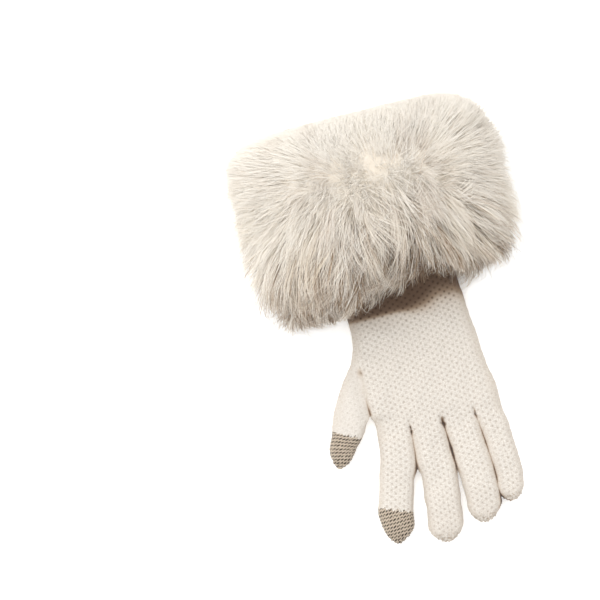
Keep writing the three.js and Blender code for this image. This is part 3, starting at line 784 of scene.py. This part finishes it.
# Hollows of the pile: where round the sleeve, where along it, how far each way, and how deep.
HOLLOWS = ((76, -1.0, 27, 0.34, 0.78), (2, -0.8, 28, 0.4, 0.2), (66, 0.25, 14, 0.16, 0.16),
           (118, -0.1, 10, 0.14, 0.12), (10, -1.0, 40, 0.4, 0.2), (150, 0.9, 24, 0.3, 0.14))
# The hair spreads from a short crest across the back of the wrist, between these two places.
CREST = np.array([(-40.0, 192.0, 72.0), (23.0, 177.0, 77.0)])
HAIR_LIE = 36.0  # how far a hair reaches sideways over the pile
CREST_SPREAD = 38.0  # at about this distance from the crest the hair lies over fully
# Above the middle of the wrist a lobe of the pile is swept towards the thumb.
LOBE = (8.0, 129.0, 17.0)
LOBE_SWEEP = np.array([-0.45, 0.05, 0.0])
UNDER_LOBE = np.array([(31.0, 129.0), (4.0, 114.0)])  # the line of shade below it
SLEEVE_PLACES = np.linspace(120, 215, 20)
SLEEVE_SECTIONS = np.array([table_at(TUBE_ROWS, at) for at in SLEEVE_PLACES])


def unit(vectors):
    """Vectors of length 1 in the same directions."""
    return vectors / (np.linalg.norm(vectors, axis=-1, keepdims=True) + 1e-9)


def patch(places, x, y, size):
    """A soft round patch seen from above, 1 at its middle."""
    return bump(np.hypot(places[:, 0] - x, places[:, 1] - y), 0, size)


def pile_share(turn, slide):
    """How much of the pile's full depth stands at a place."""
    share = np.ones_like(turn)
    for at, along, spread, reach, depth in HOLLOWS:
        off = (turn - at + 180) % 360 - 180
        share = share - depth * np.exp(-((off / spread) ** 2) - ((slide - along) / reach) ** 2)
    return share


def pile_point(turn, slide, depth, root_share=None):
    """A place in the pile: degrees round the sleeve, -1 to 1 along the hide, and 0 on it to 1 outside.

    A hair keeps part of the pile's depth at its root, so that it hangs over a hollow beside it."""
    angle = np.radians(turn)
    lean = np.clip(slide, -1.15, 1.15) * MOST_LEAN
    y = HIDE_MIDDLE + slide * HIDE_REACH
    left, right, thickness, lift = (np.interp(y, SLEEVE_PLACES, column) for column in SLEEVE_SECTIONS.T)
    side, rise = (right - left) / 2 + HIDE_THICKNESS, thickness / 2 + HIDE_THICKNESS
    middle = lift + thickness / 2
    c, s = (signed_power(f(angle), RING_ROUNDING) for f in (np.cos, np.sin))
    share = pile_share(turn, slide)
    full = depth * (share if root_share is None else np.maximum(share, share * 0.4 + root_share * 0.6))
    squareness = np.where(slide > 0, CORNER_SQUARENESS[0] - SQUARER_LEFT * c, CORNER_SQUARENESS[1])
    reach = (np.abs(np.cos(lean)) ** squareness + np.abs(np.sin(lean)) ** squareness) ** (-1 / squareness)
    outward = full * reach * np.cos(lean)
    endward = full * reach * np.abs(np.sin(lean))
    side_reach = (CUFF_WIDTH - (TUBE_ROWS[0, 2] - TUBE_ROWS[0, 1])) / 2 - HIDE_THICKNESS
    up_reach = np.where(s > 0, CUFF_HEIGHT - middle - rise, (middle - rise) * PRESSED)
    end_reach = CUFF_MIDDLE + np.sign(slide) * CUFF_LENGTH / 2 - y
    x = (left + right) / 2 - CUFF_SHIFT * full + c * (side + side_reach * outward)
    return np.stack([x, y + endward * end_reach, middle + s * (rise + up_reach * outward)], axis=-1)


def pile_frame(turn, slide):
    """On the outside of the pile: the place, and its change for each degree round and each unit along."""
    here = pile_point(turn, slide, 1.0)
    round_step = pile_point(turn + 0.5, slide, 1.0) - here
    along_step = pile_point(turn, slide + 0.01, 1.0) - here
    return here, round_step / 0.5, along_step / 0.01


def pile_normal(turn, slide):
    """The way out of the pile's smooth shape, hollows left aside."""
    round_step, along_step = pile_frame(turn, slide)[1:]
    return -unit(np.cross(round_step, along_step))


def flow_at(turn, slide):
    """How the hair runs over its length: degrees round the sleeve and share along the hide."""
    here, round_step, along_step = pile_frame(turn, slide)
    start, crest = CREST[0], CREST[1] - CREST[0]
    share = np.clip((here - start) @ crest / (crest @ crest), 0, 1)
    away = here - (start + share[:, None] * crest)
    x, y, size = LOBE
    swept = patch(here, x, y, size) * (here[:, 2] > 40)
    away = away + swept[:, None] * np.linalg.norm(away, axis=1, keepdims=True) * LOBE_SWEEP
    distance = np.linalg.norm(away, axis=1, keepdims=True)
    away = unit(away) * HAIR_LIE * np.tanh(distance / CREST_SPREAD)
    rr, ra, aa = (np.sum(p * q, axis=1) for p, q in
                  ((round_step, round_step), (round_step, along_step), (along_step, along_step)))
    r, a = np.sum(away * round_step, axis=1), np.sum(away * along_step, axis=1)
    whole = rr * aa - ra * ra + 1e-6
    round_way, along_way = (r * aa - a * ra) / whole, (a * rr - r * ra) / whole
    return np.clip(round_way, -60, 60), np.clip(along_way, -0.6, 0.6)


def over_sleeve(place):
    """1 over the back of the wrist on the little finger's side, where the hair ends sooner."""
    x, z = place[..., 0], place[..., 2]
    return smooth_step((x + 12) / 12) * smooth_step((50 - x) / 10) * (z > 15)


def curve_points(turn, slide, length, round_way, along_way, steps):
    """Points along hairs from root to tip: out from the hide, then over along the outside of the pile."""
    t = np.linspace(0, 1, steps + 1)[None, :]
    turn, slide, length, round_way, along_way = (np.asarray(v)[:, None] for v in
                                                 (turn, slide, length, round_way, along_way))
    depth = length * (1 - (1 - t) ** 2.1)
    bend = t ** 1.35
    return pile_point(turn + round_way * bend, slide + along_way * bend, depth, pile_share(turn, slide))


HAIR_STEPS = 4
CLUMPS = 1150
LOCKS_PER_CLUMP = 6
PIECES = 4
HAIRS_PER_PIECE = 27000
rng = np.random.default_rng(31)


def scatter(count):
    """Random roots over the hide, thinner on the underside and denser at the crest."""
    turn = rng.uniform(0, 360, count * 2)
    slide = rng.uniform(-1, 1, count * 2)
    under = np.sin(np.radians(turn)) < -0.35
    share = 0.6 + 0.4 * bump(slide, 0.45, 0.4) * smooth_step(np.sin(np.radians(turn)))
    under_share = 0.25 + 0.4 * smooth_step((slide - 0.6) / 0.3)
    keep = rng.uniform(0, 1, count * 2) < np.where(under, under_share, share)
    return turn[keep][:count], slide[keep][:count]


def nearest(turn, slide, turns, slides):
    """For each root the number of the nearest of some centres."""
    chosen = np.empty(len(turn), dtype=int)
    for start in range(0, len(turn), 4000):
        part = slice(start, start + 4000)
        off = (turn[part, None] - turns[None, :] + 180) % 360 - 180
        chosen[part] = np.argmin((off / 36) ** 2 + (slide[part, None] - slides[None, :]) ** 2, axis=1)
    return chosen


def rough_at(turn, slide):
    """How loose the pile is: smooth towards the open end, in loose locks over the hand."""
    return 0.12 + 1.1 * smooth_step((0.5 - slide) / 0.9)


# Where the under-fur shows through in a yellower tan: x, y and size of each patch.
TAN_PATCHES = ((-36, 157, 12), (9, 172, 14), (-68, 117, 12), (-11, 170, 11), (-6, 150, 12))
clump_turn, clump_slide = scatter(CLUMPS)
clump_swing = rng.normal(0, 7, len(clump_turn))
clump_lean = rng.normal(0, 0.12, len(clump_turn))
clump_length = np.clip(rng.normal(0.95, 0.07, len(clump_turn)), 0.7, 1.06)
clump_tone = rng.uniform(0, 1, len(clump_turn))
lock_turn, lock_slide = scatter(CLUMPS * LOCKS_PER_CLUMP)
lock_clump = nearest(lock_turn, lock_slide, clump_turn, clump_slide)
lock_swing = rng.normal(0, 5, len(lock_turn))
lock_lean = rng.normal(0, 0.07, len(lock_turn))
lock_length = rng.normal(0, 0.05, len(lock_turn))
lock_dark = rng.uniform(0, 1, len(lock_turn)) ** 2 * 3
UNDER_FUR_SHARE, STRAY_SHARE = 0.25, 0.06
NARROW, WIDE, TIP_WIDTH = 0.2, 0.34, 0.05  # of a strand
FACING_UP = np.array([0, 0, 0.8])
# Where more dark hairs paint the shade between the lower locks: x, y and size.
LOCK_SHADE_PATCH = (-27, 113, 17)


def hair_mesh(name, count):
    """One piece of the pile: tapered flat strands with the tone across and root to tip as their UV."""
    turn, slide = scatter(count)
    lock = nearest(turn, slide, lock_turn, lock_slide)
    clump = lock_clump[lock]
    round_way, along_way = flow_at(turn, slide)
    rough = rough_at(turn, slide)
    under_fur = rng.uniform(0, 1, len(turn)) < UNDER_FUR_SHARE
    length = 1 + (clump_length[clump] - 1 + lock_length[lock]) * rough + rng.normal(0, 0.03, len(turn))
    length = np.where(under_fur, length * rng.uniform(0.6, 0.85, len(turn)), length)
    stray = rng.uniform(0, 1, len(turn)) < STRAY_SHARE
    length = length + np.where(stray, rng.uniform(0, 0.14, len(turn)), 0)
    own_wild = np.where(stray, 3, 1)
    swing = (clump_swing[clump] + lock_swing[lock]) * rough + rng.normal(0, 2, len(turn)) * own_wild
    lean = (clump_lean[clump] + lock_lean[lock]) * rough + rng.normal(0, 0.035, len(turn)) * own_wild
    own = curve_points(turn, slide, length, round_way + swing, along_way + lean, HAIR_STEPS)
    lock_round, lock_along = flow_at(lock_turn[lock], lock_slide[lock])
    tip = curve_points(lock_turn[lock], lock_slide[lock], length, lock_round + swing * 0.8,
                       lock_along + lean * 0.8, HAIR_STEPS)
    t = np.linspace(0, 1, HAIR_STEPS + 1)
    pull = np.where(stray, 0.15, rng.uniform(0.35, 0.85, len(turn)) * (0.2 + 0.75 * rough))
    pull = pull[:, None] * t ** 1.3
    spine = own * (1 - pull[..., None]) + tip * pull[..., None]
    trimmed = np.maximum(wrist_border(spine[..., 0]) + rng.uniform(-3, 5, (len(turn), 1)) - spine[..., 1], 0)
    spine[..., 1] += rng.uniform(0.55, 0.95, (len(turn), 1)) * trimmed * over_sleeve(spine)
    spine[..., 2] = np.maximum(spine[..., 2], 0.4)
    ahead = unit(np.gradient(spine, axis=1))
    root_out = pile_normal(turn, slide)
    tip_out = pile_normal(turn + round_way + swing, slide + along_way + lean)
    out = unit(root_out[:, None] * (1 - t[:, None]) + tip_out[:, None] * t[:, None])
    # Light scatters through a pale pile, so that its sides are nearly as bright as its top: the strands
    # are shaded as if they faced upward.
    facing = unit(out + FACING_UP)
    side = unit(np.cross(ahead, facing))
    face = np.cross(side, ahead)
    roll = np.clip(rng.normal(0, 0.16, (len(turn), 1, 1)), -0.4, 0.4) * (0.5 + rough)[:, None, None]
    side = side * np.cos(roll) + face * np.sin(roll)
    wide = rng.uniform(NARROW, WIDE, len(turn)) * (1 + 0.3 * smooth_step((slide + 0.1) / 0.5))
    width = (wide[:, None] * (1 - t ** 2.2) + TIP_WIDTH)[..., None]
    left, right = spine - side * width / 2, spine + side * width / 2
    per = 2 * HAIR_STEPS + 1
    points = np.concatenate([np.stack([left[:, :-1], right[:, :-1]], axis=2).reshape(len(turn), -1, 3),
                             spine[:, -1:]], axis=1)
    base = np.arange(len(turn))[:, None] * per
    quads = np.array([(2 * k, 2 * k + 1, 2 * k + 3, 2 * k + 2) for k in range(HAIR_STEPS - 1)])
    last = np.array([2 * HAIR_STEPS - 2, 2 * HAIR_STEPS - 1, 2 * HAIR_STEPS])
    corners = np.concatenate([(base + quads.ravel()), base + last], axis=1).ravel()
    sizes = np.tile([4] * (HAIR_STEPS - 1) + [3], len(turn))
    mesh = bpy.data.meshes.new(name)
    flat = in_metres(points.reshape(-1, 3))
    mesh.vertices.add(len(flat))
    mesh.vertices.foreach_set("co", flat.ravel())
    mesh.loops.add(len(corners))
    mesh.loops.foreach_set("vertex_index", corners.astype(np.int32))
    mesh.polygons.add(len(sizes))
    mesh.polygons.foreach_set("loop_start", (np.cumsum(sizes) - sizes).astype(np.int32))
    mesh.polygons.foreach_set("use_smooth", np.ones(len(sizes), dtype=bool))
    mesh.update(calc_edges=True)
    own_share = (0.4 * rough)[:, None, None]
    shading = facing * (1 - own_share) + face * own_share
    shading = np.concatenate([np.repeat(shading[:, :-1], 2, axis=1), shading[:, -1:]], axis=1).reshape(-1, 3)
    mesh.normals_split_custom_set_from_vertices(unit(shading))
    tip_at = spine[:, -1]
    x, y, z = tip_at.T
    tan = sum(patch(tip_at, *each) for each in TAN_PATCHES)
    # Painted shade: hairs low towards the hand and the floor, in the hollow over the wrist, in a patch
    # between the lower locks, along the fringe and under the lobe are more often dark, and low hairs are
    # darker at the root. In the lower locks this is partly the pile's own grey-brown hairs.
    low = smooth_step((140 - y) / 45) + 0.5 * smooth_step((26 - z) / 20)
    low, loose = np.clip(low, 0, 1), np.clip(rough, 0, 1)
    wrist_hollow_shade = bump(x, 15, 18) * smooth_step((113 - y) / 10) * (z > 10)
    lock_shade = patch(tip_at, *LOCK_SHADE_PATCH)
    fringe_shade = smooth_step((108 - y) / 12) * np.where(under_fur, 0.9, 0.48)
    middle = spine[:, HAIR_STEPS // 2 + 1]
    start, way = UNDER_LOBE[0], UNDER_LOBE[1] - UNDER_LOBE[0]
    share = np.clip((middle[:, :2] - start) @ way / (way @ way), 0, 1)[:, None]
    under_lobe = bump(np.linalg.norm(middle[:, :2] - start - share * way, axis=1), 0, 6) * (middle[:, 2] > 20)
    dark = rng.uniform(0, 1, len(turn)) < ((0.21 * low + 0.1 * lock_shade) * lock_dark[lock]
                                           + 0.4 * wrist_hollow_shade + fringe_shade + 0.45 * under_lobe)
    tone = 0.5 + (clump_tone[clump] - 0.5) * (0.1 + 0.2 * rough) + rng.uniform(-0.1, 0.1, len(turn)) * rough
    tone = tone - 0.16 * tan - 0.02 * loose - 0.12 * low
    tone = tone + np.where(dark, rng.uniform(0.15, 0.45, len(turn)) + 0.11 * low, 0.0)
    tone = np.clip(tone + 0.22 * wrist_hollow_shade, 0.01, 0.99)
    rise = np.concatenate([np.repeat(t[:-1], 2), [1.0]])
    rise = rise[None, :] * np.where(under_fur, 0.7, 1.0)[:, None]
    rise = 1 - (1 - rise) * (0.3 + 0.12 * loose + 0.3 * low)[:, None]
    uv = np.stack([np.repeat(tone[:, None], per, axis=1), rise], axis=2).reshape(-1, 2)
    layer = mesh.uv_layers.new(name="OFBake")
    layer.data.foreach_set("uv", uv[corners].ravel())
    made = bpy.data.objects.new(name, mesh)
    bpy.context.scene.collection.objects.link(made)
    return made


fur, tree, output = new_material("cream fox fur, long guard hair over under-fur")
uv = node(tree, "UVMap", {"uv_map": "OFBake"})
split = node(tree, "SeparateXYZ", {}, {"Vector": uv.outputs["UV"]})
# From root to tip the hair goes from a darker tan to cream; the darker roots partly paint the shade deep in
# the pile.
ramp = node(tree, "ValToRGB", {}, {"Fac": split.outputs["Y"]})
stops = ramp.color_ramp.elements
stops[0].position, stops[0].color = 0.0, linear("#D2C4AE")
stops[1].position, stops[1].color = 1.0, linear("#F6F1E8")
for place, colour in ((0.3, "#EBE1D2"), (0.55, "#F2EBDF"), (0.8, "#F5EFE5")):
    stops.new(place).color = linear(colour)
# Tone under 0.5 turns the hair to the under-fur's tan; over 0.5 to grey-brown and dark brown, partly the
# pile's own grey-brown hairs and partly painted shade.
tan_share = maths(tree, "MULTIPLY", maths(tree, "SUBTRACT", 0.5, split.outputs["X"], clamp=True), 1.1)
dark_share = maths(tree, "MULTIPLY", maths(tree, "MULTIPLY_ADD", split.outputs["X"], 2.0, -1.0, clamp=True),
                   maths(tree, "MULTIPLY_ADD", split.outputs["Y"], -0.4, 1.3), clamp=True)
toned = mixed(tree, tan_share, ramp.outputs["Color"], "#D3B98C")
toned = mixed(tree, maths(tree, "MULTIPLY", dark_share, 1.8, clamp=True), toned, "#AE9375")
toned = mixed(tree, maths(tree, "MULTIPLY_ADD", dark_share, 1.8, -0.8, clamp=True), toned, "#4A2F19")
surface = node(tree, "BsdfPrincipled", {"Roughness": 0.6, "Sheen Weight": 0.1, "Sheen Roughness": 0.4},
               {"Base Color": toned})
tree.links.new(surface.outputs["BSDF"], output.inputs["Surface"])


DENSE_DEPTH = 0.54  # share of the pile's depth that is dense over the hand
AROUND, DENSE_ROWS, BAND_ROWS = 160, 40, 12
BAND_DRAWN_IN = np.array([0.975, 1, 0.93])


def dense_depth(slide):
    """The dense share along the hide: more towards the open end, and a little less at the crest."""
    return DENSE_DEPTH + 0.25 * smooth_step((slide + 0.2) / 0.5) - 0.06 * bump(slide, 0.35, 0.22)


def dense_mesh(name):
    """The dense inside of the pile and the hide band under it, as one closed ring round the sleeve."""
    turn = np.arange(AROUND) / AROUND * 360
    outer, inner = np.linspace(-1, 1, DENSE_ROWS), np.linspace(1, -1, BAND_ROWS)
    rings = [pile_point(turn, slide, dense_depth(slide)) for slide in outer]
    band = [pile_point(turn, slide, 0.02) for slide in inner]
    # The hide is sewn down on the sleeve: its inside is drawn a little into the knitting.
    rings += [ring.mean(axis=0) + (ring - ring.mean(axis=0)) * BAND_DRAWN_IN for ring in band]
    points = np.concatenate(rings)
    points = points + rng.normal(0, 0.25, points.shape)
    points[:, 2] = np.maximum(points[:, 2], 0.3)
    count = len(rings)
    faces = [(r * AROUND + i, r * AROUND + (i + 1) % AROUND, (r + 1) % count * AROUND + (i + 1) % AROUND,
              (r + 1) % count * AROUND + i) for r in range(count) for i in range(AROUND)]
    made = mesh_object(name, points, faces)
    corners = corner_vertices(made.data)
    # Painted shade: the dense fur is drawn darker towards the hand, between the lower locks, and at the
    # crest, where the strands round it lie in more shade; towards the open end it is paler.
    crest_shade = 0.35 * bump(points[:, 1], 184, 13) * smooth_step((points[:, 2] - 45) / 10)
    tone = rng.normal(0.48, 0.03, len(points)) + 0.5 * smooth_step((150 - points[:, 1]) / 40)
    tone = np.clip(tone, 0.1, 0.95)
    furred = 0.4 + 0.3 * smooth_step((points[:, 1] - 150) / 30) - crest_shade
    rise = np.where(np.arange(len(points)) < DENSE_ROWS * AROUND, furred, 0.1)
    layer = made.data.uv_layers.new(name="OFBake")
    layer.data.foreach_set("uv", np.column_stack([tone, rise])[corners].ravel())
    made.data.polygons.foreach_set("use_smooth", [True] * len(faces))
    slides = np.repeat(np.concatenate([outer, inner]), AROUND)
    facing = pile_normal(np.tile(turn, count), slides) + np.array([0, 0, 0.45])
    facing = facing + rng.normal(0, 0.05, points.shape)
    facing[DENSE_ROWS * AROUND:] = np.concatenate([ring.mean(axis=0) - ring for ring in rings[DENSE_ROWS:]])
    made.data.normals_split_custom_set_from_vertices(unit(facing))
    return made


dense = dense_mesh("fur_dense")
dense.data.materials.append(fur)
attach(dense, "root")
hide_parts("fur_cuff")
for i in range(PIECES):
    pile = hair_mesh(f"fur_pile_{i + 1}", HAIRS_PER_PIECE)
    pile.data.materials.append(fur)
    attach(pile, "root")
    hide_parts("fur_cuff")
